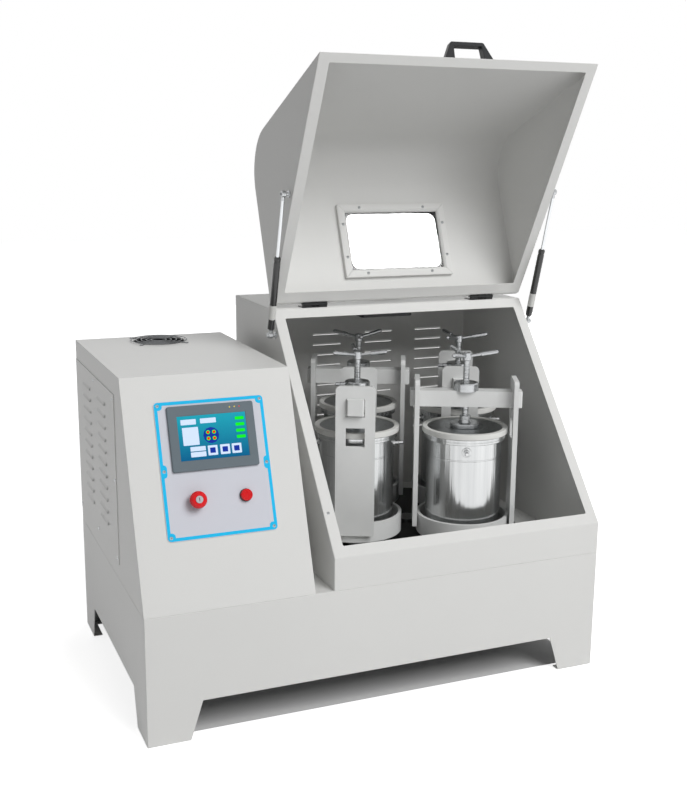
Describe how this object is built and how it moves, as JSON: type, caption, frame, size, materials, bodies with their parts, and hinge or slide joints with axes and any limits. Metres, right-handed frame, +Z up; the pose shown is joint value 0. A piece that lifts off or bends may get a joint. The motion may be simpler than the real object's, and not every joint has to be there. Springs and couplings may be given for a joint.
{
  "type": "planetary ball mill",
  "caption": "Floor-standing planetary ball mill: sloping control panel, belt and gear drive, clamped milling jars on a turning disc, and a windowed lid on gas struts.",
  "frame": {"origin": "on the floor under the middle of the whole mill's bounding box", "axes": "+Z up, -Y towards the operator at the sloping control face and lid, +X to the operator's right"},
  "size_m": [1.209, 0.755, 1.5635],
  "materials": {
    "housing_paint": "fine textured powder coat, light warm grey",
    "frame_paint": "satin primer grey",
    "plate_print": "satin printed sheet with a blue border",
    "screen_housing": "matt slate grey moulding",
    "black_plastic": "matt moulded black",
    "stop_red": "smooth signal red",
    "lamp_red": "ribbed translucent red",
    "jar_steel": "polished stainless steel",
    "ring_white": "matt white",
    "clamp_paint": "light grey powder coat",
    "bright_steel": "turned bright steel",
    "rod_chrome": "hard chrome",
    "strut_black": "gloss black enamel",
    "disc_black": "satin black",
    "edging_rubber": "matt black",
    "belt_rubber": "matt black, ribbed inside",
    "clear_pane": "clear sheet",
    "cast_housing": "machined where it seats",
    "gear_steel": "ground teeth, oiled",
    "motor_paint": "blue-grey enamel",
    "hinge_black": "black oxide",
    "zinc": "zinc plated"
  },
  "bodies": {
    "cabinet": {"base_cabinet": "housing_paint", "base_frame": "frame_paint", "mill_housing": "housing_paint", "hinge_fixed_leaves": "hinge_black", "control_box": "housing_paint", "control_side_panel": "housing_paint", "control_plate": "plate_print", "touch_screen": "screen_housing", "stop_switch": "black_plastic", "power_lamp": "lamp_red", "control_fan": "black_plastic", "chamber_fan": "black_plastic", "bearing_housing": "cast_housing", "drive_motor": "motor_paint", "drive_belt": "belt_rubber", "housing_fasteners": "zinc"},
    "lid": {"lid_hood": "housing_paint", "window_frame": "housing_paint", "window_pane": "clear_pane", "window_gasket": "edging_rubber", "lid_handle": "black_plastic", "hinge_lid_leaves": "hinge_black", "lid_fasteners": "zinc"},
    "strut_tubes": {"strut_cylinders": "strut_black"},
    "strut_piston_rods": {"strut_rods": "rod_chrome"},
    "turning_disc": {"sun_disc": "disc_black", "main_shaft": "gear_steel"},
    "motor_rotor": {"motor_pulley": "gear_steel"},
    "control_fan_blades": {"control_fan_rotor": "black_plastic"},
    "chamber_fan_blades": {"chamber_fan_rotor": "black_plastic"},
    "stop_mushroom": {"stop_button": "stop_red"},
    "stop_key_lock": {"stop_lock": "zinc"},
    "station_1": {"planet_gear_1": "gear_steel", "jar_seat_1": "clamp_paint", "jar_1": "jar_steel", "jar_cover_1": "ring_white", "clamp_bar_1": "clamp_paint"},
    "foot_1": {"pressure_foot_1": "bright_steel"},
    "screw_1": {"clamp_screw_1": "bright_steel"},
    "station_2": {"planet_gear_2": "gear_steel", "jar_seat_2": "clamp_paint", "jar_2": "jar_steel", "jar_cover_2": "ring_white", "clamp_bar_2": "clamp_paint"},
    "foot_2": {"pressure_foot_2": "bright_steel"},
    "screw_2": {"clamp_screw_2": "bright_steel"},
    "station_3": {"planet_gear_3": "gear_steel", "jar_seat_3": "clamp_paint", "jar_3": "jar_steel", "jar_cover_3": "ring_white", "clamp_bar_3": "clamp_paint"},
    "foot_3": {"pressure_foot_3": "bright_steel"},
    "screw_3": {"clamp_screw_3": "bright_steel"},
    "station_4": {"planet_gear_4": "gear_steel", "jar_seat_4": "clamp_paint", "jar_4": "jar_steel", "jar_cover_4": "ring_white", "clamp_bar_4": "clamp_paint"},
    "foot_4": {"pressure_foot_4": "bright_steel"},
    "screw_4": {"clamp_screw_4": "bright_steel"}
  },
  "joints": [
    {"name": "lid_hinge", "type": "hinge", "parent": "cabinet", "child": "lid", "pos_m": [0, 0.0585, 0.924], "axis": [1, 0, 0], "range_deg": [0, 112]},
    {"name": "strut_pivot", "type": "hinge", "parent": "cabinet", "child": "strut_tubes", "pos_m": [0, 0.0295, 0.853], "axis": [1, 0, 0], "range_deg": [0, 114.21]},
    {"name": "strut_rod_slide", "type": "slide", "parent": "strut_tubes", "child": "strut_piston_rods", "axis": [0, -0.2752, 0.9614], "range_m": [-0.12675, 0]},
    {"name": "disc_spin", "type": "hinge", "parent": "cabinet", "child": "turning_disc", "pos_m": [0.21535, -0.0065, 0.32], "axis": [0, 0, 1], "continuous": true},
    {"name": "motor_spin", "type": "hinge", "parent": "cabinet", "child": "motor_rotor", "pos_m": [-0.37465, -0.0065, 0.15], "axis": [0, 0, 1], "continuous": true},
    {"name": "control_fan_spin", "type": "hinge", "parent": "cabinet", "child": "control_fan_blades", "pos_m": [-0.39365, 0.2805, 0.79], "axis": [0, 0, 1], "continuous": true},
    {"name": "chamber_fan_spin", "type": "hinge", "parent": "cabinet", "child": "chamber_fan_blades", "pos_m": [0.21535, 0.2145, 0.89], "axis": [0, 0, 1], "continuous": true},
    {"name": "stop_push", "type": "slide", "parent": "cabinet", "child": "stop_mushroom", "axis": [0, -0.9373, 0.3485], "range_m": [-0.006, 0], "stiffness_N_per_m": 600},
    {"name": "stop_lock_turn", "type": "hinge", "parent": "stop_mushroom", "child": "stop_key_lock", "pos_m": [-0.45365, -0.29178, 0.54058], "axis": [0, -0.9373, 0.3485], "range_deg": [0, 90]},
    {"name": "station_spin_1", "type": "hinge", "parent": "turning_disc", "child": "station_1", "pos_m": [0.28559, -0.18948, 0.34], "axis": [0, 0, 1], "continuous": true},
    {"name": "foot_slide_1", "type": "slide", "parent": "station_1", "child": "foot_1", "axis": [0, 0, 1], "range_m": [0, 0.02]},
    {"name": "screw_turn_1", "type": "hinge", "parent": "foot_1", "child": "screw_1", "pos_m": [0.28559, -0.18948, 0.808], "axis": [0, 0, 1], "range_deg": [0, 1800]},
    {"name": "station_spin_2", "type": "hinge", "parent": "turning_disc", "child": "station_2", "pos_m": [0.39833, 0.06374, 0.34], "axis": [0, 0, 1], "continuous": true},
    {"name": "foot_slide_2", "type": "slide", "parent": "station_2", "child": "foot_2", "axis": [0, 0, 1], "range_m": [0, 0.02]},
    {"name": "screw_turn_2", "type": "hinge", "parent": "foot_2", "child": "screw_2", "pos_m": [0.39833, 0.06374, 0.808], "axis": [0, 0, 1], "range_deg": [0, 1800]},
    {"name": "station_spin_3", "type": "hinge", "parent": "turning_disc", "child": "station_3", "pos_m": [0.14511, 0.17648, 0.34], "axis": [0, 0, 1], "continuous": true},
    {"name": "foot_slide_3", "type": "slide", "parent": "station_3", "child": "foot_3", "axis": [0, 0, 1], "range_m": [0, 0.02]},
    {"name": "screw_turn_3", "type": "hinge", "parent": "foot_3", "child": "screw_3", "pos_m": [0.14511, 0.17648, 0.808], "axis": [0, 0, 1], "range_deg": [0, 1800]},
    {"name": "station_spin_4", "type": "hinge", "parent": "turning_disc", "child": "station_4", "pos_m": [0.03237, -0.07674, 0.34], "axis": [0, 0, 1], "continuous": true},
    {"name": "foot_slide_4", "type": "slide", "parent": "station_4", "child": "foot_4", "axis": [0, 0, 1], "range_m": [0, 0.02]},
    {"name": "screw_turn_4", "type": "hinge", "parent": "foot_4", "child": "screw_4", "pos_m": [0.03237, -0.07674, 0.808], "axis": [0, 0, 1], "range_deg": [0, 1800]}
  ],
  "couplings": [
    {"joint": "strut_pivot", "follows": "lid_hinge", "ratio": 1.0193},
    {"joint": "strut_rod_slide", "follows": "lid_hinge", "m_per_rad": -0.06479},
    {"joint": "motor_spin", "follows": "disc_spin", "ratio": 4},
    {"joint": "station_spin_1", "follows": "disc_spin", "ratio": 1},
    {"joint": "foot_slide_1", "follows": "screw_turn_1", "m_per_rad": 0.0006366},
    {"joint": "station_spin_2", "follows": "disc_spin", "ratio": 1},
    {"joint": "foot_slide_2", "follows": "screw_turn_2", "m_per_rad": 0.0006366},
    {"joint": "station_spin_3", "follows": "disc_spin", "ratio": 1},
    {"joint": "foot_slide_3", "follows": "screw_turn_3", "m_per_rad": 0.0006366},
    {"joint": "station_spin_4", "follows": "disc_spin", "ratio": 1},
    {"joint": "foot_slide_4", "follows": "screw_turn_4", "m_per_rad": 0.0006366}
  ]
}
